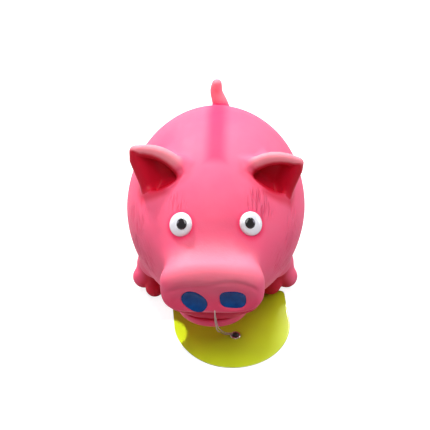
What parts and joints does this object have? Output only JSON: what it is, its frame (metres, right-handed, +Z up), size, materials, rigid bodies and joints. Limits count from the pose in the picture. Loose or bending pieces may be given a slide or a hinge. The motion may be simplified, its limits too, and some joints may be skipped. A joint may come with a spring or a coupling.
{
  "type": "squeaky pig dog toy",
  "caption": "Hollow pink latex pig that squeaks when squeezed, with stuck-on eyes, blue nostrils and a blank card tag on a loop of string.",
  "frame": {"origin": "on the ground, under the middle of the pig's length and width, the tag and its string left out", "axes": "+Z up, -Y the way the pig faces, +X to the right as seen from in front"},
  "size_m": [0.106, 0.1562, 0.1068],
  "materials": {
    "latex": "satin",
    "eye_white": "gloss",
    "pupil_black": "gloss",
    "nostril_blue": "gloss",
    "squeaker_plastic": "satin",
    "reed_film": "satin",
    "lime_card": "gloss",
    "nickel": "polished",
    "dark_plastic": "satin",
    "clear_string": "satin"
  },
  "bodies": {
    "pig": {"skin": "latex", "eye_white_left": "eye_white", "eye_white_right": "eye_white", "pupil_left": "pupil_black", "pupil_right": "pupil_black", "nostril_paint_left": "nostril_blue", "nostril_paint_right": "nostril_blue", "squeaker_housing": "squeaker_plastic", "squeaker_tone_board": "squeaker_plastic", "squeaker_wedge": "squeaker_plastic"},
    "reed": {"squeaker_reed": "reed_film"},
    "string": {"tag_string": "clear_string"},
    "stop": {"string_stop": "dark_plastic"},
    "tag": {"tag_card": "lime_card", "tag_eyelet": "nickel"}
  },
  "joints": [
    {"name": "reed_flutter", "type": "hinge", "parent": "pig", "child": "reed", "pos_m": [0, 0.0112, 0.0117], "axis": [1, 0, 0], "range_deg": [-2, 3], "stiffness_Nm_per_rad": 0.0005},
    {"name": "string_swing", "type": "hinge", "parent": "pig", "child": "string", "pos_m": [0.0016, -0.07665, 0.0452], "axis": [-1, 0, 0], "range_deg": [0, 58]},
    {"name": "tag_tilt", "type": "hinge", "parent": "string", "child": "stop", "pos_m": [0.013, -0.05265, 0.0025], "axis": [-1, 0, 0], "range_deg": [-58, 0]},
    {"name": "tag_turn", "type": "hinge", "parent": "stop", "child": "tag", "pos_m": [0.013, -0.05265, 0.001], "axis": [0, 0, 1], "range_deg": [-45, 4]}
  ],
  "couplings": [
    {"joint": "tag_tilt", "follows": "string_swing", "ratio": -1}
  ]
}
